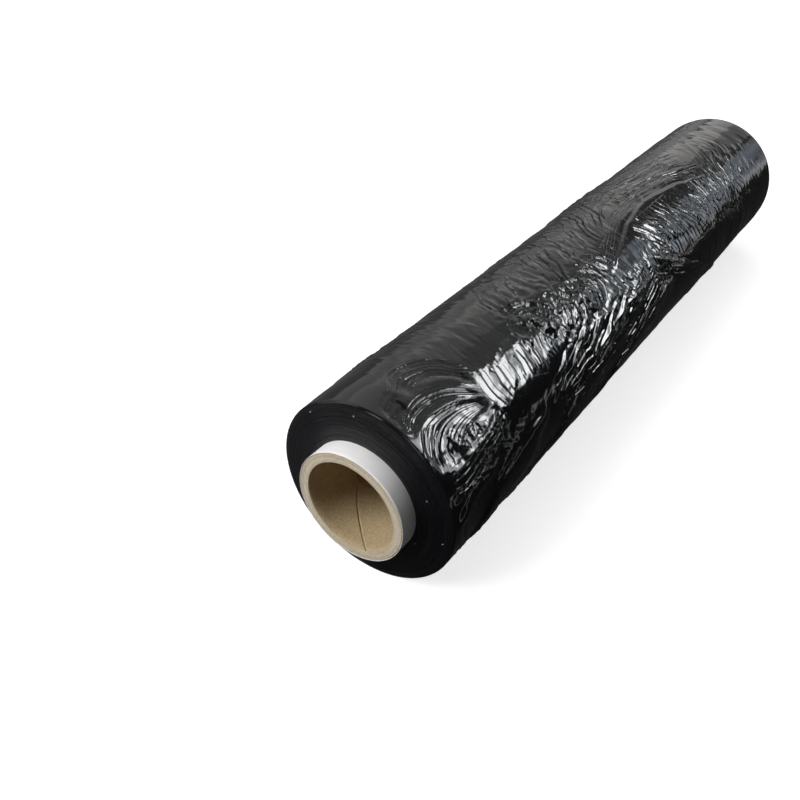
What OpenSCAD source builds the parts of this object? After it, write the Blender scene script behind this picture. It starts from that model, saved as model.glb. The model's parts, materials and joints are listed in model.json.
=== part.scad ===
// Stretch wrap roll: black film wound on a spiral cardboard core, lying on its side.
// The origin is the middle of the core's bore. +Y runs along the bore and +Z is up.
// Angles go round the bore, from +X towards +Z. The front end is the one at -Y.

/* [Core] */
// Bore of the core, which goes over a dispenser's spindle
core_bore_d = 50.8; // [38:0.1:80]
// Wall of the kraft tube
core_wall = 5.4; // [3:0.1:8]
// Length of core that stands out past the film at each end
core_overhang = 10.5; // [2:0.5:30]
// Bevel on the edges of the tube's cut rims
rim_bevel = 0.4; // [0.1:0.05:0.8]
// Thickness of the white paper ply round the tube
ply_t = 0.3; // [0.15:0.05:1]
// Glue line between the tube and the white ply
glue_gap = 0.02; // [0.01:0.01:0.1]

/* [Seam in the bore] */
// Length along the bore in which the innermost ply's seam makes one turn
seam_pitch = 153; // [110:1:240]
// Width of the seam's groove
seam_w = 0.9; // [0.5:0.1:2]
// Depth of the seam's groove
seam_depth = 0.45; // [0.2:0.05:0.8]
// Angle at which the seam meets the front rim
seam_angle = -69; // [-180:1:180]

/* [Film] */
// Width of the film, and so the length of the wound roll
film_w = 500; // [300:1:600]
// Diameter over the wound film
film_d = 103; // [90:0.5:160]
// Gap between the white ply and the innermost turn
film_gap = 0.05; // [0.02:0.01:0.2]
// Depth of the flat that the roll has taken where it lies
flat_depth = 1; // [0.6:0.1:2]

/* [Film ends] */
// How far the outermost turns lie back from the innermost
edge_setback = 3; // [1:0.1:5]
// Radial reach of the rounded outer edge
edge_round = 5; // [3:0.5:8]
// Width of one band of turns on the end face
turn_band = 1.7; // [1.2:0.1:4]
// Length along the roll in which the outer turns lie smooth at each edge
edge_calm = 9; // [4:0.5:20]

/* [Gathers] */
// Depth of the folds that run out from each gather
fold_depth = 1.3; // [0.3:0.05:1.8]
// Depth of the ripples between the gathers
ripple_depth = 0.55; // [0.1:0.05:0.9]
// Distance between the ripples, along the roll
ripple_pitch = 19; // [14:0.5:30]
// Depth of the steps where a turn of film ends on the one below
lap_depth = 1; // [0.3:0.05:1.4]

/* [Hidden] */
round_fn = 96;

core_len = film_w + 2 * core_overhang;
bore_r = core_bore_d / 2;
tube_r = bore_r + core_wall;
ply_in_r = tube_r + glue_gap;
ply_out_r = ply_in_r + ply_t;
film_in_r = ply_out_r + film_gap;
film_r = film_d / 2;

// The film's outer skin is a net of columns round the roll and rings along it
skin_columns = 56;
skin_rings = 84;
skin_end = film_w / 2 + 1;
skin_spare = 8;

// The end face falls back from the core to the outer edge in bands of turns
face_r = film_r - edge_round;
face_drop = edge_setback / 3;
band_count = max(2, floor((face_r - film_in_r) / turn_band));
band_w = (face_r - film_in_r) / band_count;
round_steps = 4;
round_over = 0.5;

// Each gather: share of the film's width from the front, angle, reach, folds, depth share
gathers = [
    [0.11, 50, 46, 9, 1],
    [0.30, 68, 34, 7, 0.8],
    [0.59, 92, 40, 8, 0.9],
    [0.70, -14, 44, 9, 0.9],
    [0.40, 8, 38, 8, 0.6],
    [0.86, 66, 34, 7, 0.6],
    [0.22, 178, 40, 7, 0.6],
    [0.62, 215, 44, 8, 0.6],
    [0.34, -150, 36, 7, 0.5],
    [0.83, 160, 36, 7, 0.5]
];

// Each lap: share of the width where it starts, start angle, degrees turned over the
// film's width, share of the width where it ends
laps = [
    [0.10, 20, 70, 0.62],
    [0.36, 62, -95, 0.93],
    [0.16, 150, -85, 0.80],
    [0.30, 205, 60, 0.95],
    [0.05, -20, -60, 0.55]
];

// Smooth step from 0 at a to 1 at b
function rise(a, b, v) = let (t = min(1, max(0, (v - a) / (b - a)))) t * t * (3 - 2 * t);

// Angle brought to the range -180 to 180
function wrap(angle) = angle - 360 * floor((angle + 180) / 360);

// Length round the film that an angle covers
function arc(angle) = angle * PI / 180 * film_r;

// Folds that run out from one gather, at the point (angle, y)
function gather(g, angle, y) =
    let (
        along = y - (g[0] - 0.5) * film_w,
        around = arc(wrap(angle - g[1])),
        d = norm([along, around]),
        turn = atan2(around, along),
        fade = exp(-pow(d / g[2], 2) * 1.6) * rise(2, 14, d)
    )
    fade < 0.02 ? 0 : g[4] * fade * cos(g[3] * (turn + 0.45 * d));

// Step where a turn of film ends on the one below, at the point (angle, y)
function lap(l, angle, y) =
    let (
        share = y / film_w + 0.5,
        here = l[1] + l[2] * (share - l[0]),
        off = arc(wrap(angle - here)),
        ends = rise(l[0], l[0] + 0.06, share) * (1 - rise(l[3] - 0.06, l[3], share))
    )
    abs(off) > 30 ? 0 : ends * exp(-pow(off / 5, 2)) * (off > 0 ? 1 : 0.7);

// How far a gather drags the ripples round with it, at the point (angle, y)
function drag(g, angle, y) =
    let (
        along = y - (g[0] - 0.5) * film_w,
        around = arc(wrap(angle - g[1])),
        twist = 110 * g[4] * exp(-pow(norm([along, around]) / g[2], 2))
    )
    along * (cos(twist) - 1) - around * sin(twist);

// Ripples that run round the roll, wander along it and bend round the gathers
function ripples(angle, y) =
    let (
        wander = 9 * sin(2 * angle + 0.5 * y) + 5 * sin(3 * angle - 1.1 * y),
        place = y + wander + sum([for (g = gathers) drag(g, angle, y)]),
        strength = 0.6 + 0.4 * sin(1.3 * y + 2 * angle)
    )
    strength * (0.7 - 2 * pow(abs(sin(180 * place / ripple_pitch)), 1.3));

function sum(values, i = 0) = i < len(values) ? values[i] + sum(values, i + 1) : 0;

// The calm strips: the two edges of the film and the flat that it lies on
function calm(angle, y) =
    rise(0, edge_calm * 2, film_w / 2 - abs(y) - edge_calm * 0.4)
    * rise(14, 40, abs(wrap(angle + 90)));

function skin_radius(angle, y) =
    film_r + calm(angle, y) * (
        fold_depth * sum([for (g = gathers) gather(g, angle, y)])
        + lap_depth * sum([for (l = laps) lap(l, angle, y)])
        + ripple_depth * ripples(angle, y)
    );

skin_points = [
    for (i = [0 : skin_rings])
        let (y = -skin_end + 2 * skin_end * i / skin_rings)
        for (j = [0 : skin_columns - 1])
            let (angle = 360 * j / skin_columns, r = skin_radius(angle, y))
            [r * cos(angle), y, r * sin(angle)]
];

function skin_index(i, j) = i * skin_columns + (j % skin_columns);

skin_faces = concat(
    [[for (j = [0 : skin_columns - 1]) skin_index(0, j)]],
    [for (i = [0 : skin_rings - 1], j = [0 : skin_columns - 1])
        [skin_index(i, j), skin_index(i + 1, j), skin_index(i + 1, j + 1)]],
    [for (i = [0 : skin_rings - 1], j = [0 : skin_columns - 1])
        [skin_index(i, j), skin_index(i + 1, j + 1), skin_index(i, j + 1)]],
    [[for (j = [skin_columns - 1 : -1 : 0]) skin_index(skin_rings, j)]]
);

// Half of the wound roll's section from the middle to one end, as radius and length
face_points = [
    for (i = [0 : band_count - 1])
        let (y = film_w / 2 - face_drop * pow(i / band_count, 2))
        each [[film_in_r + i * band_w, y], [film_in_r + (i + 1) * band_w, y]]
];
round_points = [
    for (k = [0 : round_steps])
        let (turn = 90 * k / round_steps)
        [
            face_r + (edge_round + round_over) * sin(turn),
            film_w / 2 - face_drop - (edge_setback - face_drop) * (1 - cos(turn)) * 1.6
        ]
];
end_points = concat(face_points, round_points);
outer_r = film_r + skin_spare;
end_low = end_points[len(end_points) - 1][1];

module along_y() {
    rotate([-90, 0, 0]) children();
}

module seam_cutter() {
    steps = 12;
    sides = 4;
    turns = core_len / seam_pitch;
    count = ceil(turns * 360 / steps) + 4;
    low_r = bore_r - seam_depth;
    high_r = bore_r + seam_depth;
    points = [
        for (i = [0 : count])
            let (
                y = -core_len / 2 - seam_pitch * steps / 360 * 2 + i * seam_pitch * steps / 360,
                angle = seam_angle - 360 * (y + core_len / 2) / seam_pitch
            )
            for (k = [[low_r, -1], [high_r, -0.6], [high_r, 0.6], [low_r, 1]])
                [k[0] * cos(angle), y + k[1] * seam_w / 2, k[0] * sin(angle)]
    ];
    faces = concat(
        [[0, 1, 2, 3]],
        [for (i = [0 : count - 1], k = [0 : sides - 1])
            let (a = i * sides + k, b = i * sides + (k + 1) % sides)
            [a, a + sides, b + sides]],
        [for (i = [0 : count - 1], k = [0 : sides - 1])
            let (a = i * sides + k, b = i * sides + (k + 1) % sides)
            [a, b + sides, b]],
        [[count * sides + 3, count * sides + 2, count * sides + 1, count * sides]]
    );
    polyhedron(points, faces, convexity = 10);
}

module core_tube() {
    half = core_len / 2;
    color("burlywood")
    difference() {
        along_y()
        rotate_extrude($fn = round_fn)
        polygon([
            [bore_r + rim_bevel, -half],
            [tube_r - rim_bevel, -half],
            [tube_r, -half + rim_bevel],
            [tube_r, half - rim_bevel],
            [tube_r - rim_bevel, half],
            [bore_r + rim_bevel, half],
            [bore_r, half - rim_bevel],
            [bore_r, -half + rim_bevel]
        ]);
        seam_cutter();
    }
}

module white_ply() {
    color("white")
    along_y()
    difference() {
        cylinder(h = core_len, r = ply_out_r, center = true, $fn = round_fn);
        cylinder(h = core_len + 2, r = ply_in_r, center = true, $fn = round_fn);
    }
}

module film_roll() {
    color([0.06, 0.06, 0.07])
    difference() {
        intersection() {
            polyhedron(skin_points, skin_faces, convexity = 8);
            along_y()
            rotate_extrude($fn = round_fn)
            polygon(concat(
                end_points,
                [[outer_r, end_low], [outer_r, -end_low]],
                [for (i = [len(end_points) - 1 : -1 : 0]) [end_points[i][0], -end_points[i][1]]]
            ));
        }
        translate([-film_d, -film_w, -film_r - film_d + flat_depth])
        cube([2 * film_d, 2 * film_w, film_d]);
    }
}

core_tube();
white_ply();
film_roll();
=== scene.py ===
import json
import math

import bpy
import numpy as np
from mathutils import Matrix, Vector


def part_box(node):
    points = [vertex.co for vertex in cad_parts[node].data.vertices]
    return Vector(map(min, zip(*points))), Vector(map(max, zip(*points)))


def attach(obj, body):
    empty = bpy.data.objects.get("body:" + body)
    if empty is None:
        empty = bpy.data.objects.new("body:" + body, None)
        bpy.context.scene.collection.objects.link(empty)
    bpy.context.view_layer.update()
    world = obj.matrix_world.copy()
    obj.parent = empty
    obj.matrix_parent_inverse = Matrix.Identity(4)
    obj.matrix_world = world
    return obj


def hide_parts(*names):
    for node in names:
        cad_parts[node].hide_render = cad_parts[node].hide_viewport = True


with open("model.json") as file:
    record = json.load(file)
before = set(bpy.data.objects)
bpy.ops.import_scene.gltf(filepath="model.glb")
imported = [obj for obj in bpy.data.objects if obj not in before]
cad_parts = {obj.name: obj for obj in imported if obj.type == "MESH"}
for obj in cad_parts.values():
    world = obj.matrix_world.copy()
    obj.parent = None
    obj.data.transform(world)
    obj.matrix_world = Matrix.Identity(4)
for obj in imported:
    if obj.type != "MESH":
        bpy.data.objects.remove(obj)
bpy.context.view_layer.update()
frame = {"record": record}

# The stretch wrap roll: crinkled black film on a kraft tube with a white paper ply.
# Sizes in millimetres. Angles go round the bore in degrees, from +X towards +Z.
MM = 0.001
BODY = "root"
mounts = {m["name"]: m for m in frame["record"]["mounts"]}
tube_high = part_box("core_tube")[1]
ply_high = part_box("white_ply")[1]
film_low, film_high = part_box("film_roll")
BORE_R = mounts["core_bore"]["dims"]["r_mm"]
TUBE_R = tube_high.x / MM
PLY_R = ply_high.x / MM
CORE_HALF = tube_high.y / MM
FILM_HALF = film_high.y / MM
FRONT = -FILM_HALF
FLOOR_Z = film_low.z / MM
FLAT_DEPTH = 1.0
FILM_R = round(FLAT_DEPTH - FLOOR_Z, 3)
CIRCUMFERENCE = 2 * math.pi * FILM_R
FILM_GAP = 0.05
FILM_BORE_R = PLY_R + FILM_GAP
GLUE_GAP = 0.02
SEAM_PITCH = 153.0
SEAM_ANGLE = -69.0
SEAM_W = 0.9
SEAM_DEPTH = 0.45
RIM_BEVEL = 0.4
EDGE_SETBACK = 3.0
EDGE_ROUND = 5.0
EDGE_CALM = 9.0
RIPPLE_HEIGHT = 0.42
HIGHEST_FOLD = 1.9

# The camera, from a fit to the rims and edges of the roll in the photograph
CAMERA_PLACE = Vector((187.17, -482.57, 277.32)) * MM
CAMERA_RIGHT = Vector((0.81559, 0.57863, 0.0))
CAMERA_UP = Vector((-0.34324, 0.48380, 0.80506))
FOCAL_PIXELS = 833.5
IMAGE_PIXELS = 800
SENSOR_WIDTH = 36.0

# The two wanderings of the film and its ripples are layers of noise: seed, length of the
# noise's cells round the roll and along it in mm, and weight, in mm for the wanderings
WANDER_ROUND = [(11, 70, 60, 8), (13, 16, 15, 2.2)]
WANDER_ALONG = [(12, 80, 70, 16), (14, 17, 15, 2.6)]
ROUND_RIPPLES = [(31, 34, 7.0, 1.0), (32, 22, 4.6, 0.75), (33, 13, 3.0, 0.45)]
LONG_RIPPLES = [(41, 7.0, 38, 1.0), (42, 4.6, 24, 0.75), (43, 3.2, 15, 0.45)]

# Where the ripples run along the roll and not round it: mm from the front, angle, half length
# along, half length round, share
LENGTHWISE_SPOTS = [
    (30, 48, 34, 34, 1.0),
    (170, 24, 80, 16, 1.0),
    (240, 4, 130, 24, 1.0),
    (330, 78, 60, 14, 1.0),
    (300, 180, 90, 40, 0.8),
    (150, 235, 80, 40, 0.7),
]

# Each gather: share of the film's width from the front, angle, reach in mm, depth share
GATHERS = [
    (0.11, 50, 46, 1.0),
    (0.30, 68, 34, 0.8),
    (0.59, 92, 40, 0.9),
    (0.70, -14, 44, 0.9),
    (0.40, 8, 38, 0.6),
    (0.86, 66, 34, 0.6),
    (0.22, 178, 40, 0.6),
    (0.62, 215, 44, 0.6),
    (0.34, -150, 36, 0.5),
    (0.83, 160, 36, 0.5),
]

# Edges of loose turns: height in mm, then points (mm from the front of the film, angle)
TURN_EDGES = [
    (0.9, [(402, 50), (378, 62), (340, 72), (300, 77), (260, 71), (225, 59), (194, 46)]),
    (0.6, [(256, 48), (272, 38), (292, 26), (330, 6), (366, -18), (395, -44)]),
    (0.9, [(92, -22), (132, -3), (178, 13), (226, 25), (256, 34)]),
    (0.7, [(40, 150), (110, 168), (190, 160), (270, 140), (330, 128)]),
    (0.8, [(150, 232), (230, 214), (320, 218), (410, 200)]),
    (0.6, [(20, 236), (90, 224), (160, 200), (240, 186)]),
    (0.6, [(300, 176), (360, 168), (430, 176), (470, 190)]),
]

# Bundles of creases: start line (mm, angle, mm, angle), end line (mm, angle, mm, angle),
# bow in mm, creases, height and half width in mm
BUNDLES = [
    (2, 62, 6, 78, 18, 74, 24, 88, 3, 9, -0.7, 0.8),
    (1, 0, 8, 22, 48, 18, 60, 40, 5, 12, 1.2, 1.1),
    (20, -22, 34, 2, 84, 2, 104, 22, 4, 14, 1.4, 1.3),
    (96, 54, 112, 58, 152, 66, 140, 58, 15, 10, -0.7, 0.9),
    (64, 46, 70, 60, 104, 42, 108, 74, 3, 14, 0.12, 0.9),
    (66, 60, 102, 62, 68, 96, 106, 98, 3, 10, -0.35, 0.8),
    (150, 45, 176, 50, 164, 62, 196, 63, 3, 12, 0.6, 0.9),
    (100, 14, 196, 14, 146, 42, 244, 43, 4, 16, 0.7, 0.7),
    (106, 20, 170, 26, 136, 46, 204, 47, 2, 12, -0.6, 0.7),
    (96, -20, 120, 8, 214, 16, 258, 35, 6, 13, 1.2, 1.0),
    (150, -22, 200, -6, 250, -4, 290, 20, 6, 9, 1.4, 1.4),
    (258, 68, 330, 58, 282, 36, 348, 33, 2, 24, 0.6, 0.9),
    (346, 60, 404, 50, 352, 36, 410, 33, 2, 14, 0.5, 0.95),
    (250, 46, 268, 30, 372, -8, 402, -34, -8, 9, 1.6, 1.3),
    (106, 76, 160, 76, 130, 128, 180, 124, 5, 20, -0.55, 0.7),
    (164, 76, 250, 76, 180, 120, 264, 126, -5, 26, -0.5, 0.7),
    (262, 82, 286, 100, 384, 62, 396, 78, 9, 14, -0.55, 0.9),
    (300, 88, 326, 130, 366, 82, 404, 108, 6, 14, -0.45, 0.9),
    (410, 40, 470, 34, 414, 66, 478, 70, 3, 9, 0.3, 1.3),
    (20, 140, 60, 150, 140, 146, 170, 172, 8, 14, 0.6, 1.3),
    (150, 170, 240, 160, 170, 222, 262, 214, 6, 20, 0.55, 1.1),
    (250, 120, 330, 128, 268, 170, 350, 176, -6, 18, 0.5, 1.1),
    (280, 196, 300, 232, 420, 190, 440, 226, 8, 14, 0.6, 1.4),
    (60, 190, 70, 236, 190, 186, 200, 214, -8, 14, 0.55, 1.3),
    (390, 120, 470, 130, 400, 176, 480, 184, 4, 16, 0.4, 1.1),
    (60, -40, 160, -34, 90, -4, 190, 2, 5, 16, 0.5, 1.2),
    (290, -40, 420, -36, 310, 18, 440, 22, -6, 16, 0.35, 1.2),
]

# Creases that bend over: the outer arch and the inner arch as points (mm from the front,
# angle), then how many creases lie from one to the other, height and half width in mm
ARCHES = [
    ([(1, 37), (4, 50), (16, 61), (38, 59), (58, 49)],
     [(25, 37), (28, 42), (36, 45), (46, 46), (57, 46)], 8, -1.3, 1.1),
    ([(8, 68), (20, 73), (34, 72), (46, 64), (58, 52)],
     [(6, 60), (18, 65), (34, 63), (46, 57), (57, 50)], 3, -0.9, 1.0),
    ([(20, 84), (30, 97), (42, 96), (53, 87), (60, 76)],
     [(24, 76), (34, 81), (44, 77), (52, 68), (58, 56)], 7, -0.9, 0.8),
    ([(4, 24), (20, 23), (38, 28), (57, 33)],
     [(10, 35), (28, 36), (44, 38), (57, 42)], 7, 1.2, 0.9),
    ([(105, 62), (111, 77), (124, 79), (137, 73), (143, 62)],
     [(112, 60), (116, 67), (124, 69), (131, 65), (136, 58)], 5, -1.1, 0.75),
]

# Families of fine creases: the first and the last one as points (mm from the front, angle),
# how many there are from one to the other, and depth share
FAMILIES = [
    ([(1, 37), (4, 50), (16, 61), (38, 59), (59, 49)],
     [(25, 37), (28, 42), (36, 45), (46, 46), (58, 46)], 9, 1.3),
    ([(6, 68), (20, 76), (34, 74), (46, 66), (60, 53)],
     [(5, 62), (18, 66), (34, 64), (46, 58), (58, 50)], 5, 1.2),
    ([(16, 86), (28, 99), (42, 98), (53, 88), (60, 76)],
     [(24, 76), (34, 81), (44, 77), (52, 68), (59, 57)], 6, 0.7),
    ([(4, 22), (20, 21), (38, 26), (60, 33)], [(10, 36), (28, 37), (44, 39), (58, 44)], 5, 1.2),
    ([(62, 64), (60, 50), (64, 36)], [(106, 62), (108, 50), (104, 36)], 10, 0.75),
    ([(108, 62), (112, 77), (124, 80), (137, 74), (144, 62)],
     [(114, 60), (117, 67), (124, 69), (131, 65), (135, 58)], 4, 1.2),
    ([(150, 66), (154, 54), (151, 42)], [(186, 64), (191, 54), (186, 42)], 8, 1.0),
    ([(104, 26), (126, 32), (152, 41)], [(126, 8), (170, 12), (206, 20), (246, 36)], 6, 1.2),
    ([(96, -2), (120, 8), (165, 14), (210, 22), (258, 38)],
     [(120, -24), (160, -8), (210, 0), (266, 20)], 6, 1.2),
    ([(262, 44), (290, 28), (320, 10), (370, -18)],
     [(240, 28), (280, 12), (310, -4), (350, -28)], 5, 1.2),
    ([(256, 64), (266, 54), (284, 34)], [(328, 60), (338, 50), (350, 32)], 13, 1.0),
    ([(350, 62), (354, 48), (356, 32)], [(404, 56), (408, 44), (412, 30)], 10, 0.9),
    ([(106, 90), (116, 102), (130, 116)], [(148, 84), (158, 98), (172, 118)], 5, 1.3),
    ([(154, 74), (166, 94), (182, 120)], [(190, 72), (206, 92), (230, 120)], 6, 2.3),
    ([(208, 78), (224, 96), (246, 122)], [(246, 80), (266, 98), (292, 124)], 7, 2.3),
    ([(205, 55), (225, 63), (260, 75), (300, 81), (340, 75), (392, 59)],
     [(215, 68), (240, 78), (270, 86), (300, 90), (345, 86), (398, 72)], 4, 0.9),
    ([(296, 92), (340, 88), (392, 78)], [(310, 116), (350, 112), (400, 104)], 5, 1.2),
    ([(60, 150), (120, 168), (200, 160)], [(80, 190), (150, 200), (230, 190)], 7, 1.0),
    ([(260, 150), (320, 170), (410, 164)], [(280, 206), (350, 214), (440, 200)], 9, 1.0),
]

# Patches of crumples: mm from the front, angle, half length along, half length round,
# creases, height in mm
CRUMPLES = [
    (130, 62, 17, 12, 130, 0.9),
    (112, 70, 12, 11, 36, 0.6),
    (166, 62, 20, 13, 60, 0.5),
    (196, 68, 18, 10, 30, 0.3),
    (46, 36, 12, 8, 24, 0.5),
    (32, 44, 7, 5, 14, 0.5),
    (22, 36, 14, 8, 20, 0.4),
    (292, 102, 16, 12, 40, 0.6),
    (270, 36, 16, 10, 30, 0.5),
    (232, 40, 22, 8, 24, 0.35),
    (350, 40, 60, 16, 40, 0.2),
    (200, 178, 60, 40, 120, 0.45),
    (350, 200, 70, 40, 120, 0.45),
    (90, 200, 50, 40, 80, 0.4),
    (300, 150, 60, 30, 80, 0.35),
]

# Calm patches of film: mm from the front, angle, half length along, half length round, depth
CALM_PATCHES = [
    (8, 112, 34, 40, 0.85),
    (478, 80, 40, 90, 0.8),
    (24, 50, 30, 26, 0.85),
    (84, 55, 24, 13, 0.9),
    (146, 98, 60, 26, 0.88),
    (236, 98, 60, 28, 0.88),
    (340, 100, 50, 24, 0.6),
    (310, 68, 46, 10, 0.95),
    (330, 12, 60, 18, 0.6),
    (150, 26, 60, 14, 0.85),
    (200, 4, 90, 22, 0.8),
    (228, 52, 34, 11, 0.8),
]


def rise(a, b, v):
    """Smooth step from 0 at a to 1 at b."""
    t = np.clip((v - a) / (b - a), 0, 1)
    return t * t * (3 - 2 * t)


def wrap(angle):
    """Angle brought to the range -180 to 180."""
    return angle - 360 * np.floor((angle + 180) / 360)


def arc(angle):
    """Length round the film that an angle covers."""
    return np.radians(angle) * FILM_R


def sin_deg(angle):
    return np.sin(np.radians(angle))


def cos_deg(angle):
    return np.cos(np.radians(angle))


def near(angle, y, place, centre_angle, reach_along, reach_round):
    """A soft spot on the film, 1 at its centre. place is in mm from the film's front."""
    round_part = arc(wrap(angle - centre_angle)) / reach_round
    along_part = (y - FRONT - place) / reach_along
    return np.exp(-(round_part ** 2 + along_part ** 2))


def noise(seed, u, v, period):
    """Smooth noise at (u, v) between about -1 and 1, which repeats along u after period cells."""
    rows = 1024
    turns = np.random.RandomState(seed).uniform(0, 2 * math.pi, (period, rows))
    gu, gv = np.cos(turns), np.sin(turns)
    u0 = np.floor(u).astype(int)
    v0 = np.floor(v).astype(int)
    fu, fv = u - u0, v - v0

    def corner(du, dv):
        i = (u0 + du) % period
        j = (v0 + dv) % rows
        return gu[i, j] * (fu - du) + gv[i, j] * (fv - dv)

    su = fu * fu * fu * (fu * (fu * 6 - 15) + 10)
    sv = fv * fv * fv * (fv * (fv * 6 - 15) + 10)
    low = corner(0, 0) * (1 - su) + corner(1, 0) * su
    high = corner(0, 1) * (1 - su) + corner(1, 1) * su
    return (low * (1 - sv) + high * sv) * 1.5


def around_noise(seed, a, b, length_round, length_along):
    """Noise on the film's surface with cells of about these lengths in millimetres."""
    cells = max(2, round(CIRCUMFERENCE / length_round))
    return noise(seed, a * cells / CIRCUMFERENCE, b / length_along, cells)


def add_layers(start, layers, a, b, shape=lambda n: n):
    """start and the weighted layers of noise, each put through shape first."""
    total = start
    for seed, length_round, length_along, weight in layers:
        total = total + weight * shape(around_noise(seed, a, b, length_round, length_along))
    return total


def drag(gather, angle, y):
    """How far a gather drags what lies round it, round the roll and along it."""
    place, turn, reach, depth = gather
    along = y - (place - 0.5) * 2 * FILM_HALF
    around = arc(wrap(angle - turn))
    twist = 60 * depth * np.exp(-(np.hypot(along, around) / reach) ** 2)
    return (
        around * (cos_deg(twist) - 1) + along * sin_deg(twist),
        along * (cos_deg(twist) - 1) - around * sin_deg(twist),
    )


def flow(angle, y):
    """Where a point of the film lay before the gathers and the wandering dragged it."""
    a, b = arc(angle), y
    for gather in GATHERS:
        round_drag, along_drag = drag(gather, angle, y)
        a = a + round_drag
        b = b + along_drag
    a = add_layers(a, WANDER_ROUND, arc(angle), y)
    b = add_layers(b, WANDER_ALONG, arc(angle), y)
    return a, b


def crinkle_strength(angle, y):
    """How strongly the film is crinkled at each point."""
    strength = 0.62 + 0.38 * around_noise(21, arc(angle), y, 55, 50)
    for place, turn, along, around, depth in CALM_PATCHES:
        strength = strength * (1 - depth * near(angle, y, place, turn, along, around))
    for place, turn, along, around, _, height in CRUMPLES:
        strength = strength + 0.7 * height * near(angle, y, place, turn, along, around)
    return np.clip(strength, 0.03, 1.6)


def lengthwise_share(angle, y):
    """Where the ripples run along the roll and not round it."""
    share = 0.0
    for place, turn, along, around, weight in LENGTHWISE_SPOTS:
        share = share + weight * near(angle, y, place, turn, along, around)
    return np.clip(share, 0, 1)


def curve_points(start, end, bow, count=9):
    """Points (round, along) of a bowed line between two points."""
    t = np.linspace(0, 1, count)[:, None]
    line = start + (end - start) * t
    side = np.array([end[1] - start[1], start[0] - end[0]])
    side = side / max(1e-6, np.hypot(*side))
    return line + side * bow * 4 * t * (1 - t)


def spot(place, turn):
    """A place on the unrolled film from mm behind its front edge and an angle."""
    return np.array([arc(turn), FRONT + place])


def smooth_line(knots, parts=5):
    """A smooth line of points through the knots."""
    padded = np.concatenate([2 * knots[:1] - knots[1:2], knots, 2 * knots[-1:] - knots[-2:-1]])
    rows = []
    for k in range(1, len(knots)):
        before, start, end, after = padded[k - 1:k + 3]
        for t in np.arange(parts) / parts:
            rows.append(0.5 * (
                2 * start + (end - before) * t
                + (2 * before - 5 * start + 4 * end - after) * t ** 2
                + (3 * start - before - 3 * end + after) * t ** 3
            ))
    return np.array(rows + [knots[-1]])


def nearest_on_line(points, a, b):
    """Signed distance from each place to a line of points, and the share of its length there."""
    best = np.full(a.shape, 1e9)
    signed = np.zeros(a.shape)
    share = np.zeros(a.shape)
    pieces = len(points) - 1
    for k in range(pieces):
        step = points[k + 1] - points[k]
        off_a, off_b = a - points[k][0], b - points[k][1]
        t = np.clip((off_a * step[0] + off_b * step[1]) / (step @ step + 1e-9), 0, 1)
        gap = np.hypot(off_a - t * step[0], off_b - t * step[1])
        closer = gap < best
        best = np.where(closer, gap, best)
        side = np.where(off_a * step[1] - off_b * step[0] < 0, -1, 1)
        signed = np.where(closer, gap * side, signed)
        share = np.where(closer, (k + t) / pieces, share)
    return signed, share


def window_round(points, angles, ys, margin):
    """The rows and columns of the grid near some points, and the places there."""
    middle = points.mean(axis=0)
    a = arc(wrap(angles - np.degrees(middle[0] / FILM_R))) + middle[0]
    low, high = points.min(axis=0) - margin, points.max(axis=0) + margin
    columns = np.nonzero((a > low[0]) & (a < high[0]))[0]
    rows = np.nonzero((ys > low[1]) & (ys < high[1]))[0]
    return np.ix_(rows, columns), *np.meshgrid(a[columns], ys[rows])


def add_line(height, angles, ys, points, shape, margin):
    """Adds shape(signed distance, share of the length) along a line of points to the heights."""
    window, a, b = window_round(points, angles, ys, margin)
    if a.size:
        height[window] += shape(*nearest_on_line(points, a, b))


def crease_shape(height, half_width, taper=0.0):
    """A sharp crease that fades at both ends, steeper on one side and finer towards its end."""
    gentle_width = half_width * 2.2

    def shape(d, t):
        ends = rise(-0.05, 0.15, t) * (1 - rise(0.85, 1.0, t)) * (1 - 0.6 * taper * t)
        width = np.where(d > 0, half_width, gentle_width) * (1 - taper * t)
        return height * ends * np.exp(-np.abs(d) / width)
    return shape


def edge_shape(height):
    """The step of a turn's edge: up sharply on one side, back gently on the other."""
    run_out, dip_share, dip_place = 9, 0.25, -1.5

    def shape(d, t):
        ends = rise(0, 0.15, t) * (1 - rise(0.8, 1.0, t))
        step = rise(-0.9, 0.9, d) * np.exp(-np.maximum(d, 0) / run_out)
        dip = dip_share * np.exp(-(d - dip_place) ** 2)
        return height * ends * (step - dip)
    return shape


def turn_edge_lines(draw):
    """A line of points and a shape for the edge of each loose turn."""
    for lift, line in TURN_EDGES:
        knots = np.array([spot(*p) for p in line])
        fine = np.linspace(0, len(knots) - 1, 4 * len(knots))
        points = np.stack([np.interp(fine, range(len(knots)), knots[:, k]) for k in (0, 1)], -1)
        yield points + draw.normal(0, 0.5, points.shape), edge_shape(lift)


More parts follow.
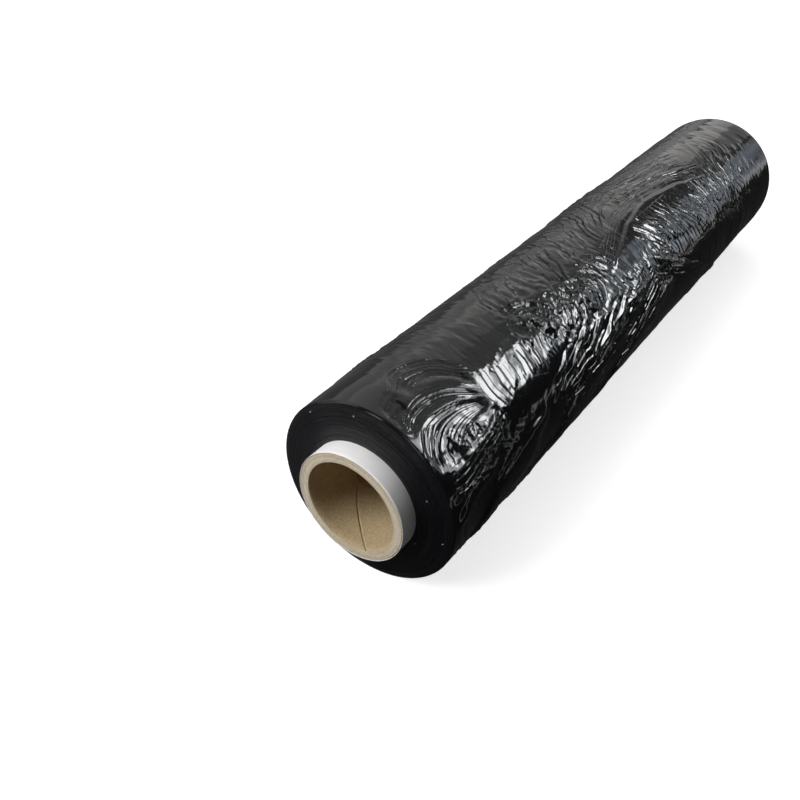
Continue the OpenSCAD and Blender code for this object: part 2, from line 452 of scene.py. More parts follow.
def bundle_lines(draw):
    """A line of points and a shape for each crease of the bundles."""
    for bundle in BUNDLES:
        start_a, start_b = spot(*bundle[0:2]), spot(*bundle[2:4])
        end_a, end_b = spot(*bundle[4:6]), spot(*bundle[6:8])
        bow, count, lift, width = bundle[8:]
        closes_up = np.hypot(*(end_b - end_a)) < 0.3 * np.hypot(*(start_b - start_a))
        taper = 0.6 if closes_up else 0
        for k in range(count):
            share = np.clip((k + draw.uniform(0.1, 0.9)) / count, 0, 1)
            end_share = np.clip(share + draw.normal(0, 0.05), 0, 1)
            start = start_a + (start_b - start_a) * share + draw.normal(0, 1.2, 2)
            end = end_a + (end_b - end_a) * end_share + draw.normal(0, 0.8, 2)
            start, end = (
                start + (end - start) * draw.uniform(0, 0.2) ** 1.5,
                end + (start - end) * draw.uniform(0, 0.25),
            )
            points = curve_points(start, end, bow * draw.uniform(0.4, 1.4))
            points = points + draw.normal(0, 0.25, points.shape)
            height = lift * draw.uniform(0.45, 1.15)
            yield points, crease_shape(height, width * draw.uniform(0.7, 1.3), taper)


def arch_lines(draw):
    """A line of points and a shape for each crease of the arches."""
    for outer, inner, count, lift, width in ARCHES:
        outer, inner = (np.array([spot(*p) for p in line]) for line in (outer, inner))
        for k in range(count):
            share = np.clip((k + draw.uniform(0.2, 0.8)) / count, 0, 1)
            knots = outer + (inner - outer) * share + draw.normal(0, 0.35, outer.shape)
            height = lift * draw.uniform(0.6, 1.1)
            yield smooth_line(knots), crease_shape(height, width * draw.uniform(0.8, 1.3), 0.4)


def crumple_lines(draw):
    """A line of points and a shape for each short crease of the crumples."""
    for place, turn, along, around, count, lift in CRUMPLES:
        centre = spot(place, turn)
        for _ in range(count):
            middle = centre + draw.normal(0, 0.62, 2) * np.array([around, along])
            heading = draw.uniform(0, math.pi)
            half = draw.uniform(1.8, 6.5)
            reach = half * np.array([math.cos(heading), math.sin(heading)])
            points = curve_points(middle - reach, middle + reach, draw.uniform(-2, 2), 5)
            size = draw.uniform(0.4, 1.0) * (1 if draw.uniform() < 0.5 else -1)
            yield points, crease_shape(lift * size, draw.uniform(0.6, 1.2))


def creases(angles, ys):
    """Heights of every crease and turn's edge on a grid of ys by angles."""
    height = np.zeros((len(ys), len(angles)))
    draw = np.random.RandomState(5)
    edge_reach, crease_reach = 32, 8
    for points, shape in turn_edge_lines(draw):
        add_line(height, angles, ys, points, shape, edge_reach)
    for lines in (bundle_lines, arch_lines, crumple_lines):
        for points, shape in lines(draw):
            add_line(height, angles, ys, points, shape, crease_reach)
    return height


def crease_families(angles, ys):
    """Phase and depth of the fine creases. A crease lies wherever the phase passes a half."""
    phase = np.zeros((len(ys), len(angles)))
    depth = np.zeros((len(ys), len(angles)))
    margin = 6
    for first, last, count, deep in FAMILIES:
        first, last = (smooth_line(np.array([spot(*p) for p in line])) for line in (first, last))
        window, a, b = window_round(np.concatenate([first, last]), angles, ys, margin)
        to_first, along = nearest_on_line(first, a, b)
        to_last, along_last = nearest_on_line(last, a, b)
        to_first, to_last = np.abs(to_first), np.abs(to_last)
        share = to_first / (to_first + to_last + 1e-6)
        at = np.linspace(0, 1, len(first))
        at_last = np.linspace(0, 1, len(last))
        span = np.hypot(*(
            np.interp(along, at, first[:, k]) - np.interp(along_last, at_last, last[:, k])
            for k in (0, 1)
        ))
        inside = 1 - rise(1.02, 1.25, (to_first + to_last) / (span + 0.3))
        middle = along + (along_last - along) * share
        ends = rise(0.0, 0.14, middle) * (1 - rise(0.9, 1.0, middle))
        own = deep * inside * ends * rise(0.4, 2.0, span)
        wander = 0.3 * around_noise(81, a, b, 12, 12) + 0.45 * around_noise(82, a, b, 26, 26)
        better = own > depth[window]
        phase[window] = np.where(better, share * count + wander, phase[window])
        depth[window] = np.where(better, own, depth[window])
    return phase, depth


def ridge(n, width=0.42):
    """Sharp ridges where the noise passes through zero."""
    return np.maximum(0, 1 - np.abs(n) / width) ** 1.5


def skin_heights(angles, ys):
    """Height of the skin over the plain cylinder, on a grid of ys by angles."""
    angle, y = np.meshgrid(angles, ys)
    a, b = flow(angle, y)
    share = lengthwise_share(angle, y)
    round_wise = add_layers(0.0, ROUND_RIPPLES, a, b, ridge)
    length_wise = add_layers(0.0, LONG_RIPPLES, a, b, ridge)
    strength = RIPPLE_HEIGHT * crinkle_strength(angle, y)
    ripples = strength * ((1 - share) * round_wise + share * length_wise)
    swell = 0.45 * around_noise(15, arc(angle), y, 46, 52) + 0.2 * around_noise(16, a, b, 22, 16)
    folds = HIGHEST_FOLD * np.tanh(creases(angles, ys) / HIGHEST_FOLD)
    from_edge = FILM_HALF - np.abs(y) - EDGE_SETBACK
    from_underside = np.abs(wrap(angle + 90))
    high = folds * rise(0, 4, from_edge)
    high = high + ripples * rise(0, EDGE_CALM, from_edge)
    high = high + swell * rise(0, 2 * EDGE_CALM, from_edge)
    return high * rise(10, 30, from_underside)


def ring_mesh(name, points):
    """A closed mesh from rows of points, each a closed ring. The last row joins the first."""
    rows, columns = points.shape[:2]
    i, j = np.meshgrid(np.arange(rows), np.arange(columns), indexing="ij")
    i2, j2 = (i + 1) % rows, (j + 1) % columns
    quads = np.stack([i * columns + j, i * columns + j2, i2 * columns + j2, i2 * columns + j], -1)
    quads = quads.reshape(-1, 4)
    mesh = bpy.data.meshes.new(name)
    mesh.vertices.add(rows * columns)
    mesh.vertices.foreach_set("co", (points.reshape(-1) * MM).astype(np.float32))
    mesh.loops.add(quads.size)
    mesh.loops.foreach_set("vertex_index", quads.reshape(-1).astype(np.int32))
    mesh.polygons.add(len(quads))
    mesh.polygons.foreach_set("loop_start", np.arange(0, quads.size, 4, dtype=np.int32))
    mesh.update(calc_edges=True)
    mesh.polygons.foreach_set("use_smooth", np.ones(len(quads), bool))
    mesh.validate()
    piece = bpy.data.objects.new(name, mesh)
    bpy.context.scene.collection.objects.link(piece)
    return piece


def add_attribute(piece, name, kind, values):
    """Keeps a value at each vertex for the material to read."""
    attribute = piece.data.attributes.new(name, kind, "POINT")
    field = "vector" if kind == "FLOAT_VECTOR" else "value"
    attribute.data.foreach_set(field, values.reshape(-1).astype(np.float32))


def ring(radius, y, angle):
    """A row of points round the bore."""
    return np.stack(
        [radius * cos_deg(angle), np.broadcast_to(y, angle.shape), radius * sin_deg(angle)], -1
    )


def make_film():
    """The wound film: crinkled skin, rounded edges, end faces in bands of turns, and bore."""
    # Stretches of angle and their columns: what the camera sees, the hidden side, underneath
    stretches = [(-30, 106, 136), (106, 230, 62), (230, 330, 26)]
    angle = np.concatenate([
        np.linspace(start, end, columns, endpoint=False) for start, end, columns in stretches
    ])
    round_rows = 5
    bands = 7
    band_flat = 0.86
    band_wobble = 0.10
    face_r = FILM_R - EDGE_ROUND
    face_drop = EDGE_SETBACK / 3
    edge_y = FILM_HALF - EDGE_SETBACK
    band_w = (face_r - FILM_BORE_R) / bands

    def end_rows(side):
        """Rows from the bore to the start of the skin at one end. side is -1 at the front."""
        rows = []
        for band in range(bands):
            fall = face_drop * (band / bands) ** 2
            for part in (0.0, band_flat):
                r = FILM_BORE_R + (band + part) * band_w
                uneven = around_noise(51 + band, arc(angle), np.zeros_like(angle), 60, 10)
                wobble = band_wobble * uneven
                rows.append(ring(r, side * (FILM_HALF - fall - wobble - band_wobble), angle))
        for step in range(round_rows):
            turn = math.radians(90 * step / round_rows)
            r = face_r + EDGE_ROUND * math.sin(turn)
            fall = face_drop + (EDGE_SETBACK - face_drop) * (1 - math.cos(turn))
            rows.append(ring(r, side * (FILM_HALF - fall), angle))
        return rows

    front = end_rows(-1)
    back = end_rows(1)
    # The rows lie closest where the camera is near and the creases are sharpest
    near_y, far_y = FRONT + 64, FRONT + 262
    skin_y = np.concatenate([
        np.linspace(-edge_y, near_y, 80, endpoint=False),
        np.linspace(near_y, far_y, 172, endpoint=False),
        np.linspace(far_y, edge_y, 151),
    ])
    heights = skin_heights(angle, skin_y)
    skin = [ring(FILM_R + h, y, angle) for h, y in zip(heights, skin_y)]
    points = np.array(front + skin + back[::-1])
    points[..., 2] = np.maximum(points[..., 2], FLOOR_Z)
    piece = ring_mesh("film_roll_wound", points)

    # What the material reads at each point
    grid = points.shape[:2]
    grid_angle = np.broadcast_to(angle, grid)
    grid_y = points[..., 1]
    a, b = flow(grid_angle, grid_y)
    turned = a / FILM_R
    warped = np.stack([FILM_R * np.cos(turned), b, FILM_R * np.sin(turned)], -1)
    phase, depth = np.zeros(grid), np.zeros(grid)
    on_skin = slice(len(front), len(front) + len(skin_y))
    phase[on_skin], depth[on_skin] = crease_families(angle, skin_y)
    add_attribute(piece, "flow", "FLOAT_VECTOR", warped)
    add_attribute(piece, "crease_phase", "FLOAT", phase)
    add_attribute(piece, "crease_depth", "FLOAT", depth)
    add_attribute(piece, "crinkle", "FLOAT", crinkle_strength(grid_angle, grid_y))
    add_attribute(piece, "lengthwise", "FLOAT", lengthwise_share(grid_angle, grid_y))
    turn_edges = np.zeros(grid, np.int32)
    turn_edges[:len(front) - 2] = 1
    turn_edges[-len(back) + 1:] = 1
    piece.data.polygons.foreach_set("material_index", turn_edges.reshape(-1))
    return piece


def make_tube():
    """The kraft tube: bore with the seam's groove, cut rims with their plies, and outer wall."""
    bore_rows = 140
    rim_rows = 22
    wall_rows = 24
    columns = 150
    ply_step, ply_grain = 0.07, 0.06
    slant = SEAM_PITCH / math.hypot(SEAM_PITCH, 2 * math.pi * BORE_R)
    profile = np.array([-1.0, -0.6, 0.6, 1.0]) * SEAM_W / 2
    groove = np.degrees(slant * profile / BORE_R)
    rest = np.linspace(groove[-1], 360 + groove[0], columns)[1:-1]
    offsets = np.concatenate([groove, rest])
    in_groove = np.zeros(len(offsets))
    in_groove[1:3] = 1

    def start(y):
        """Angle of the seam, where a row of points starts."""
        return SEAM_ANGLE - 360 * (y + CORE_HALF) / SEAM_PITCH

    def rim(side):
        """Rows from the bore's bevel to the outer bevel, with the plies a little uneven."""
        y = side * CORE_HALF
        rows = []
        for k in range(rim_rows):
            share = k / (rim_rows - 1)
            r = BORE_R + RIM_BEVEL + share * (TUBE_R - BORE_R - 2 * RIM_BEVEL)
            angle = start(y) + offsets
            grain = noise(61 + side, angle / 3, np.full(len(angle), k * 0.5), 120)
            ply = ply_step * (k % 3 == 0) + ply_grain * np.abs(grain)
            notch = SEAM_DEPTH * in_groove * max(0, 1 - k / 3)
            rows.append(ring(r, side * (CORE_HALF - ply - notch), angle))
        return rows

    wall_end = CORE_HALF - RIM_BEVEL
    bore = [
        ring(BORE_R + SEAM_DEPTH * in_groove, y, start(y) + offsets)
        for y in np.linspace(-wall_end, wall_end, bore_rows)
    ]
    front, back = rim(-1), rim(1)
    twist = wrap(start(CORE_HALF) - start(-CORE_HALF))
    wall = [
        ring(TUBE_R, (2 * share - 1) * wall_end, start(-CORE_HALF) + twist * share + offsets)
        for share in np.linspace(0, 1, wall_rows)
    ]
    points = np.array(bore[::-1] + front + wall + back[::-1])
    piece = ring_mesh("core_tube_board", points)
    cut = np.zeros(points.shape[:2], np.int32)
    cut[len(bore):len(bore) + rim_rows - 1] = 1
    cut[-rim_rows:-1] = 1
    piece.data.polygons.foreach_set("material_index", cut.reshape(-1))
    return piece


def make_ply():
    """The white paper ply: a thin sleeve whose cut edges are a little uneven."""
    columns = 240
    least_trim, uneven_trim = 0.05, 0.12
    usual_lift, most_lift = 0.06, 0.05
    angle = 360 * np.arange(columns) / columns
    zero = np.zeros(columns)
    edge = uneven_trim * np.abs(noise(71, angle / 5, zero, 72)) + least_trim
    lift = usual_lift * noise(72, angle / 12, zero, 30)

    def row(radius, y):
        trim = edge if abs(y) == CORE_HALF else 0
        return ring(radius, y - np.sign(y) * trim, angle)

    rows = [row(TUBE_R + GLUE_GAP, y) for y in (CORE_HALF, FILM_HALF, -FILM_HALF, -CORE_HALF)]
    steps = np.linspace(-CORE_HALF, -FILM_HALF + 4, 12)
    for y in np.concatenate([steps, -steps[::-1]]):
        swell = lift * rise(FILM_HALF, CORE_HALF, abs(y))
        rows.append(row(PLY_R + np.minimum(swell, most_lift), y))
    return ring_mesh("core_white_paper", np.array(rows))


class Nodes:
    """A short way to build a material's node tree."""

    def __init__(self, name):
        self.material = bpy.data.materials.new(name)
        self.material.use_nodes = True
        self.tree = self.material.node_tree
        self.shader = self.tree.nodes["Principled BSDF"]

    def add(self, kind, **settings):
        node = self.tree.nodes.new(kind)
        for key, value in settings.items():
            setattr(node, key, value)
        return node

    def link(self, output, target):
        self.tree.links.new(output, target)

    def set(self, node, **values):
        """Sets sockets by name, with an underscore for each space."""
        for key, value in values.items():
            node.inputs[key.replace("_", " ")].default_value = value

    def place(self):
        """The point's place on the object, in metres."""
        return self.add("ShaderNodeTexCoord").outputs["Object"]

    def attribute(self, name, output="Fac"):
        """A value that the mesh keeps at each vertex."""
        return self.add("ShaderNodeAttribute", attribute_name=name).outputs[output]

    def math(self, operation, a, b=None, clamp=False):
        """One sum on sockets or numbers."""
        node = self.add("ShaderNodeMath", operation=operation, use_clamp=clamp)
        for socket, value in zip(node.inputs, (a, b)):
            if value is None:
                continue
            if isinstance(value, (int, float)):
                socket.default_value = value
            else:
                self.link(value, socket)
        return node.outputs[0]

    def length(self, vector):
        node = self.add("ShaderNodeVectorMath", operation="LENGTH")
        self.link(vector, node.inputs[0])
        return node.outputs["Value"]

    def noise(self, vector, scale, detail=2.0, roughness=0.5, distortion=0.0):
        node = self.add("ShaderNodeTexNoise")
        self.set(node, Scale=scale, Detail=detail, Roughness=roughness, Distortion=distortion)
        self.link(vector, node.inputs["Vector"])
        return node.outputs["Fac"]

    def mix_value(self, share, low, high):
        node = self.add("ShaderNodeMix", data_type="FLOAT")
        for socket, value in zip(node.inputs[:1] + node.inputs[2:4], (share, low, high)):
            self.link(value, socket)
        return node.outputs[0]

    def ramp(self, factor, stops):
        """Colours by place from 0 to 1."""
        node = self.add("ShaderNodeValToRGB")
        ramp = node.color_ramp
        while len(ramp.elements) < len(stops):
            ramp.elements.new(1.0)
        for element, (place, colour) in zip(ramp.elements, stops):
            element.position = place
            element.color = (*colour, 1)
        self.link(factor, node.inputs["Fac"])
        return node.outputs["Color"]

    def scaled(self, vector, scale):
        node = self.add("ShaderNodeMapping")
        node.inputs["Scale"].default_value = scale
        self.link(vector, node.inputs["Vector"])
        return node.outputs["Vector"]

    def ring_place(self, place, wobble_scale):
        """Where a noise has to be read to give rings: mm from the bore's axis, and a wobble."""
        node = self.add("ShaderNodeCombineXYZ")
        radius = self.length(self.scaled(place, (1, 0, 1)))
        self.link(self.math("MULTIPLY", radius, 1 / MM), node.inputs["X"])
        self.link(self.noise(place, wobble_scale, 2, 0.5), node.inputs["Y"])
        return node.outputs[0]

    def bump(self, height, strength, size, normal=None, invert=False):
        """The normal over a relief of size mm."""
        node = self.add("ShaderNodeBump", invert=invert)
        self.set(node, Strength=strength, Distance=size * MM)
        self.link(height, node.inputs["Height"])
        if normal is not None:
            self.link(normal, node.inputs["Normal"])
        return node.outputs["Normal"]


def film_material():
    """Glossy black film with fine creases that follow the pull of the gathers."""
    n = Nodes("film_black")
    flow_at = n.attribute("flow", "Vector")
    strength = n.attribute("crinkle")
    share = n.attribute("lengthwise")
    place = n.place()

    def creased(scale, width):
        """Sharp creases along the contour lines of a stretched noise."""
        pattern = n.noise(n.scaled(flow_at, scale), 1.0, 1, 0.5, 0.9)
        off = n.math("ABSOLUTE", n.math("SUBTRACT", pattern, 0.5))
        return n.math("SUBTRACT", 1.0, n.math("DIVIDE", off, width), clamp=True)

    # The creases of the families, each with its own width and strength
    phase = n.attribute("crease_phase")
    from_crease = n.math("ABSOLUTE", n.math("SUBTRACT", n.math("FRACT", phase), 0.5))
    chance = n.add("ShaderNodeTexWhiteNoise", noise_dimensions="1D")
    n.link(n.math("FLOOR", phase), chance.inputs["W"])
    own_share = n.math("ADD", n.math("MULTIPLY", chance.outputs["Value"], 1.1), 0.25)
    half = n.math("MULTIPLY", own_share, 0.18)
    groove = n.math("SUBTRACT", 1.0, n.math("DIVIDE", from_crease, half), clamp=True)
    mottle = n.math("SUBTRACT", n.noise(place, 90, 1, 0.5), 0.28, clamp=True)
    uneven = n.math("MULTIPLY", n.math("MULTIPLY", mottle, 2.4), own_share)
    own_depth = n.math("MULTIPLY", n.attribute("crease_depth"), uneven)
    groove = n.math("MULTIPLY", groove, own_depth)

    # Long creases in patches, then shorter ones where the film is crumpled
    crumpled = n.math("SUBTRACT", strength, 0.4, clamp=True)
    densest = n.math("SUBTRACT", strength, 0.8, clamp=True)
    patchy = n.noise(n.scaled(flow_at, (0.012, 0.03, 0.012)), 1.0, 1, 0.5)
    some = n.math("MULTIPLY", n.math("SUBTRACT", patchy, 0.47, clamp=True), 7.0, clamp=True)
    kept = n.math("MULTIPLY", some, n.math("MULTIPLY", crumpled, 4.0, clamp=True))
    long_creases = creased((0.026, 0.075, 0.026), 0.06)
    wide_round = creased((0.04, 0.14, 0.04), 0.10)
    wide_long = creased((0.14, 0.04, 0.14), 0.10)
    fine_round = creased((0.09, 0.26, 0.09), 0.14)
    wide = n.mix_value(share, wide_round, wide_long)

    normal = n.bump(groove, 1.0, 0.5, invert=True)
    normal = n.bump(n.math("MULTIPLY", long_creases, kept), 1.0, 0.3, normal, invert=True)
    normal = n.bump(n.math("MULTIPLY", wide, crumpled), 1.0, 0.4, normal, invert=True)
    normal = n.bump(n.math("MULTIPLY", fine_round, densest), 1.0, 0.2, normal)
    normal = n.bump(n.noise(place, 1400, 2, 0.5), 0.05, 0.1, normal)
    n.link(normal, n.shader.inputs["Normal"])
    n.set(n.shader, Base_Color=(0.007, 0.007, 0.008, 1), Roughness=0.11, IOR=1.5)
    return n.material


def film_edge_material():
    """The edges of the turns: fine rings with a bluish sheen, and a few specks of dust."""
    n = Nodes("film_turn_edges")
    place = n.place()
    ring_at = n.ring_place(place, 12)
    fine = n.noise(ring_at, 1.1, 4, 0.75)
    wide = n.noise(ring_at, 0.28, 2, 0.6)
    rings = n.math("ADD", n.math("MULTIPLY", fine, 0.7), wide)
    normal = n.bump(rings, 1.0, 2.2)
    normal = n.bump(n.noise(place, 900, 2, 0.5), 0.2, 0.1, normal)
    n.link(normal, n.shader.inputs["Normal"])

    parts = n.add("ShaderNodeSeparateXYZ")
    n.link(place, parts.inputs[0])
    on_face = n.add("ShaderNodeCombineXYZ")
    n.link(parts.outputs["X"], on_face.inputs["X"])
    n.link(parts.outputs["Z"], on_face.inputs["Y"])
    dust = n.add("ShaderNodeTexVoronoi", feature="F1", voronoi_dimensions="2D")
    n.set(dust, Scale=70.0)
    n.link(on_face.outputs[0], dust.inputs["Vector"])
    speck = n.math("LESS_THAN", dust.outputs["Distance"], 0.032)
    some = n.math("GREATER_THAN", n.noise(place, 30, 1, 0.5), 0.50)
    black_to_dust = [(0.0, (0.005, 0.005, 0.007)), (1.0, (0.45, 0.46, 0.48))]
    dusty = n.math("MULTIPLY", speck, some)
    n.link(n.ramp(dusty, black_to_dust), n.shader.inputs["Base Color"])
    n.set(n.shader, Roughness=0.3, IOR=1.5)
    return n.material


def kraft_material():
    """Kraft board: speckled brown fibres."""
    n = Nodes("board_kraft")
    fibre = n.noise(n.scaled(n.place(), (1, 0.5, 1)), 1300, 5, 0.7)
    browns = [(0.25, (0.35, 0.25, 0.13)), (0.5, (0.49, 0.375, 0.22)), (0.75, (0.63, 0.51, 0.33))]
    n.link(n.ramp(fibre, browns), n.shader.inputs["Base Color"])
    n.link(n.bump(fibre, 0.3, 0.2), n.shader.inputs["Normal"])
    n.set(n.shader, Roughness=0.9)
    return n.material


def kraft_cut_material():
    """The cut rim of the tube: paler board whose plies show as rings."""
    n = Nodes("board_cut_rim")
    place = n.place()
    plies = n.noise(n.ring_place(place, 20), 1.3, 3, 0.6)
    fibre = n.noise(place, 900, 4, 0.6)
    both = n.math("ADD", n.math("MULTIPLY", plies, 0.6), n.math("MULTIPLY", fibre, 0.4))
    creams = [(0.32, (0.48, 0.38, 0.26)), (0.5, (0.68, 0.59, 0.45)), (0.66, (0.84, 0.76, 0.62))]
    n.link(n.ramp(both, creams), n.shader.inputs["Base Color"])
    n.link(n.bump(both, 0.5, 0.4), n.shader.inputs["Normal"])
    n.set(n.shader, Roughness=0.9)
    return n.material


def paper_material():
    """White coated paper with a faint mottle."""
    n = Nodes("paper_white")
    mottle = n.noise(n.place(), 120, 3, 0.5)
    whites = [(0.3, (0.89, 0.875, 0.875)), (0.7, (0.94, 0.925, 0.925))]
    n.link(n.ramp(mottle, whites), n.shader.inputs["Base Color"])
    n.set(n.shader, Roughness=0.6, Specular_IOR_Level=0.2)
    return n.material


def dress(piece, node, slot, *materials):
    """Puts the materials on a piece, hides the solid that it stands for and attaches the piece to
    the roll's body.
    """
    for material in materials:
        piece.data.materials.append(material)
    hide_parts(node)
    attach(piece, BODY)


def make_camera():
    data = bpy.data.cameras.new("camera")
    data.sensor_width = SENSOR_WIDTH
    data.lens = FOCAL_PIXELS / IMAGE_PIXELS * SENSOR_WIDTH
    data.clip_start = 0.01
    camera = bpy.data.objects.new("camera", data)
    back = CAMERA_RIGHT.cross(CAMERA_UP).normalized()
    turn = Matrix((CAMERA_RIGHT, CAMERA_UP, back)).transposed()
    camera.matrix_world = Matrix.Translation(CAMERA_PLACE) @ turn.to_4x4()
    bpy.context.scene.collection.objects.link(camera)
    bpy.context.scene.camera = camera


def stage_mesh(name, corners, material):
    """A flat panel that belongs to the stage and not to the roll."""
    mesh = bpy.data.meshes.new(name)
    mesh.from_pydata(corners, [], [tuple(range(len(corners)))])
    panel = bpy.data.objects.new(name, mesh)
    bpy.context.scene.collection.objects.link(panel)
    panel.data.materials.append(material)
    return panel


def seen_rays(tree):
    """1 for a ray from the camera or from a mirror or through glass, else 0."""
    rays = tree.nodes.new("ShaderNodeLightPath")
    seen = rays.outputs["Is Camera Ray"]
    for kind in ("Is Glossy Ray", "Is Transmission Ray"):
        either = tree.nodes.new("ShaderNodeMath")
        either.operation = "MAXIMUM"
        tree.links.new(seen, either.inputs[0])
        tree.links.new(rays.outputs[kind], either.inputs[1])
        seen = either.outputs[0]
    return seen


def rect(a0, b0, a1, b1):
    """The corners of a rectangle in a panel's own plane. The stage is laid out in metres."""
    return [(a0, b0), (a1, b0), (a1, b1), (a0, b1)]


def level_panel(height, points):
    """The corners of a level panel from its points (x, y)."""
    return [(x, y, height) for x, y in points]


def side_panel(x, points):
    """The corners of an upright panel beside the roll from its points (y, height)."""
    return [(x, y, height) for y, height in points]


def end_panel(y, points):
    """The corners of an upright panel off one end of the roll from its points (x, height)."""
    return [(x, y, height) for x, height in points]


def make_floor():
    """A white floor that throws little light back up at the roll."""
    half = 6.0
    thrown, shown = 0.10, 0.50
    glow, glow_rise, rise_from = 0.78, 0.25, 0.9
    n = Nodes("floor_pale")
    seen = seen_rays(n.tree)
    n.link(n.ramp(seen, [(0.0, (thrown,) * 3), (1.0, (shown,) * 3)]), n.shader.inputs["Base Color"])
    outwards = n.math("SUBTRACT", n.length(n.place()), rise_from, clamp=True)
    far = n.math("MULTIPLY", outwards, glow_rise)
    strength = n.math("MULTIPLY", seen, n.math("ADD", far, glow))
    n.link(strength, n.shader.inputs["Emission Strength"])
    n.set(n.shader, Emission_Color=(1, 1, 1, 1), Roughness=0.9)
    stage_mesh("floor", level_panel(FLOOR_Z * MM, rect(-half, -half, half, half)), n.material)


def glowing(name, strength, tint=(1, 1, 1), uneven=0.0, slope=0.0, grain=2.6):
    """A bright look. uneven makes it cloudy, with smaller clouds for a larger grain, and slope
    makes it brighter with each metre farther back."""
    level_y = 1.6
    n = Nodes(name)
    n.set(n.shader, Base_Color=(0, 0, 0, 1), Roughness=1.0, Specular_IOR_Level=0.0)
    n.set(n.shader, Emission_Color=(*tint, 1), Emission_Strength=strength)
    if uneven:
        place = n.place()
        cloud = n.math("SUBTRACT", n.noise(place, grain, 3, 0.6), 0.5)
        share = n.math("ADD", n.math("MULTIPLY", cloud, uneven), 1.0)
        parts = n.add("ShaderNodeSeparateXYZ")
        n.link(place, parts.inputs[0])
        back = n.math("MULTIPLY", n.math("SUBTRACT", parts.outputs["Y"], level_y), slope)
        share = n.math("ADD", share, back)
        n.link(n.math("MULTIPLY", share, strength), n.shader.inputs["Emission Strength"])
    return n.material


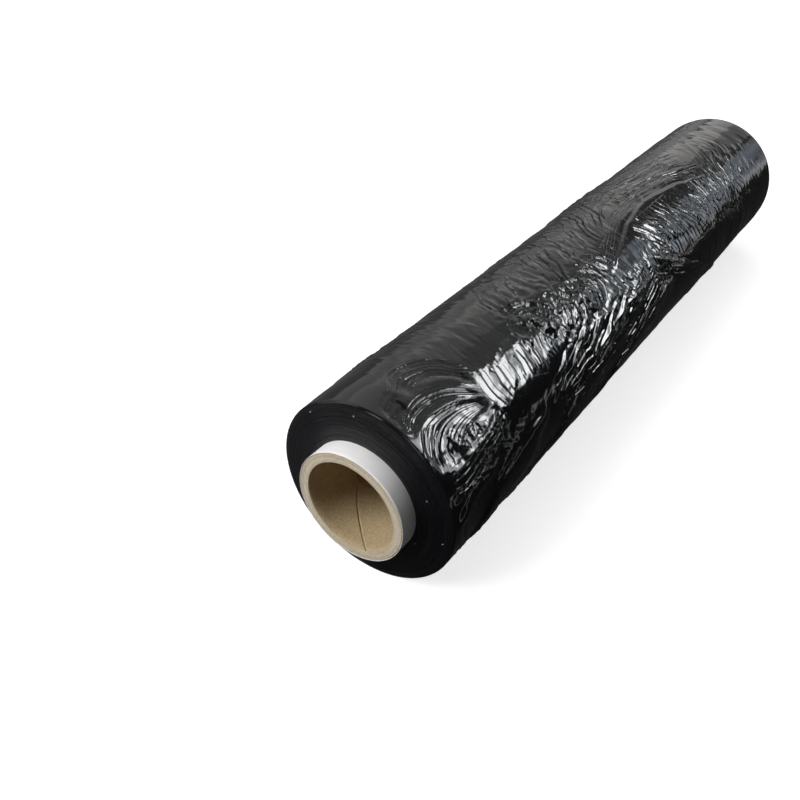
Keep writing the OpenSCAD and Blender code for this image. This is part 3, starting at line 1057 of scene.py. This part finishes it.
def make_cards():
    """Cards and bright panes round the roll that only its reflections show."""
    black = glowing("card_black", 0.03)
    dim = glowing("card_dim", 0.10)
    grey = glowing("card_grey", 0.45)
    shade = glowing("card_shade", 0.12)
    pale = glowing("card_pale", 0.63, (1.0, 0.985, 0.96), 0.7, 0.14)
    day = glowing("pane_day", 6.0, (0.95, 0.98, 1.0), 5.0, grain=15.0)
    bright = glowing("pane_bright", 17.0, (0.96, 0.98, 1.0), 3.0, grain=15.0)
    next_day = glowing("pane_next", 2.2, (0.90, 0.95, 1.0), 4.0)
    dusk = glowing("pane_dusk", 0.55, (0.80, 0.90, 1.0), 3.0)
    sky = glowing("pane_sky", 1.7, (0.78, 0.89, 1.0), 4.0)
    last = glowing("pane_last", 0.5, (0.80, 0.88, 1.0), 5.0)
    low = glowing("strip_low", 1.8, (0.98, 0.99, 1.0), 2.0)
    soft = glowing("pane_soft", 2.2, (0.97, 0.98, 1.0), 2.0)

    # The panes on the right share their edges, each a line of points (y, height). The film
    # mirrors each edge as a line round the roll, farther back with each pane.
    near_edge = [(0.85, 0.62), (1.04, 0.94), (1.38, 1.37), (2.04, 2.10)]
    strip_edge = [(1.22, 0.62), (1.44, 0.94), (1.84, 1.37), (2.55, 2.10)]
    next_edge = [(1.54, 0.62), (1.78, 0.94), (2.26, 1.37), (2.55, 1.62)]
    far_edge = [(1.67, 0.12), (1.77, 0.41), (2.30, 0.94), (2.86, 1.37)]
    last_edge = [(2.22, 0.12), (2.36, 0.41), (3.01, 0.94), (3.72, 1.37)]
    pane_x = 1.0
    near_pane = [(0.45, 0.62)] + near_edge + [(0.45, 2.10)]
    strip_pane = [(0.80, 0.54), (1.14, 0.54)] + strip_edge + near_edge[::-1]
    next_pane = next_edge + strip_edge[::-1]
    middle_pane = [(1.45, 0.50), (1.50, 0.12)] + far_edge + [(2.30, 1.40)] + next_edge[2::-1]
    far_pane = last_edge + [(3.3, 1.6), (3.05, 1.5)] + far_edge[::-1]
    last_pane = [(6.5, 0.12), (6.5, 1.5), (3.9, 1.5)] + last_edge[::-1]
    over_pane = [(1.0, 2.10), (1.0, 2.55), (0.60, 2.42), (0.60, 2.02)]
    arch = [(1.0, 3.5), (0.4, 3.4), (0.0, 3.5), (-0.5, 3.95), (0.0, 4.35), (0.6, 4.9), (1.0, 5.3)]
    ground = FLOOR_Z * MM + 0.0005

    cards = {
        "card_ground": (black, level_panel(ground, rect(0, -3, 3, 3))),
        "card_ground_left": (shade, level_panel(ground, rect(-3, -3, 0, 3))),
        "strip_low": (low, level_panel(ground + 0.001, rect(0.32, -0.4, 0.38, 0.75))),
        "card_front": (black, end_panel(-1.5, rect(-1.6, -0.05, 1.8, 2.1))),
        "pane_front": (soft, end_panel(-1.49, rect(-0.75, 0.7, -0.35, 2.0))),
        "pane_front_right": (soft, end_panel(-1.49, rect(0.5, 0.5, 0.75, 2.0))),
        "card_left": (grey, side_panel(-2.4, rect(-1.5, 0.25, 7.0, 1.30))),
        "card_left_low": (shade, side_panel(-2.4, rect(-1.5, -0.05, 7.0, 0.25))),
        "card_right": (black, side_panel(1.02, rect(-1.5, -0.05, 0.45, 2.1))),
        "card_low": (black, side_panel(1.01, rect(0.4, -0.05, 1.60, 0.62))),
        "card_high": (shade, side_panel(1.01, rect(2.0, 1.4, 7.0, 2.12))),
        "card_over": (black, level_panel(2.1, rect(-1.6, -1.5, 1.0, 0.5))),
        "card_top": (grey, level_panel(2.12, rect(-0.45, 0.5, 1.0, 6.5))),
        "card_arch": (dim, level_panel(2.11, arch)),
        "card_sky": (pale, level_panel(2.13, rect(-7, 0.5, -0.45, 9.2))),
        "card_back": (shade, end_panel(9.2, rect(1.0, -0.05, -7, 2.13))),
        "pane_near": (day, side_panel(pane_x, near_pane)),
        "pane_strip": (bright, side_panel(pane_x, strip_pane)),
        "pane_strip_over": (bright, level_panel(2.115, over_pane)),
        "pane_next": (next_day, side_panel(pane_x, next_pane)),
        "pane_middle": (dusk, side_panel(pane_x, middle_pane)),
        "pane_far": (sky, side_panel(pane_x, far_pane)),
        "pane_last": (last, side_panel(pane_x, last_pane)),
    }
    for name, (look, corners) in cards.items():
        card = stage_mesh(name, corners, look)
        card.visible_camera = False
        card.visible_diffuse = False
        card.visible_shadow = False
        card.visible_transmission = False


def area_lamp(name, place, target, size, power):
    """A square white lamp that lights the roll but shows in no reflection."""
    data = bpy.data.lights.new(name, "AREA")
    data.shape = "SQUARE"
    data.size = size
    data.energy = power
    lamp = bpy.data.objects.new(name, data)
    direction = Vector(target) - Vector(place)
    lamp.rotation_euler = direction.to_track_quat("-Z", "Y").to_euler()
    lamp.location = place
    lamp.visible_camera = False
    lamp.visible_glossy = False
    bpy.context.scene.collection.objects.link(lamp)


def make_light():
    """Surroundings that look white but throw little light, and three lamps."""
    # The low level lights the roll, and the camera and the reflections see the high one
    thrown, shown = 0.018, 1.0
    scene = bpy.context.scene
    world = bpy.data.worlds.new("studio")
    scene.world = world
    world.use_nodes = True
    tree = world.node_tree
    background = tree.nodes["Background"]
    background.inputs["Color"].default_value = (1, 1, 1, 1)
    strength = tree.nodes.new("ShaderNodeMapRange")
    strength.inputs["To Min"].default_value = thrown
    strength.inputs["To Max"].default_value = shown
    tree.links.new(seen_rays(tree), strength.inputs["Value"])
    tree.links.new(strength.outputs["Result"], background.inputs["Strength"])
    area_lamp("lamp_overhead", (-0.3, 0.3, 2.2), (0, 0, 0), 2.4, 23)
    area_lamp("lamp_key", (-0.6, -1.2, 1.0), (0, -0.2, 0), 0.8, 21)
    area_lamp("lamp_back", (-0.5, 1.5, 1.1), (0, 0.2, 0), 0.8, 9)
    scene.view_settings.view_transform = "Standard"


make_camera()
make_floor()
make_cards()
make_light()
dress(make_film(), "film_roll", "black_film", film_material(), film_edge_material())
dress(make_tube(), "core_tube", "kraft_board", kraft_material(), kraft_cut_material())
dress(make_ply(), "white_ply", "white_paper", paper_material())

bpy.context.view_layer.update()
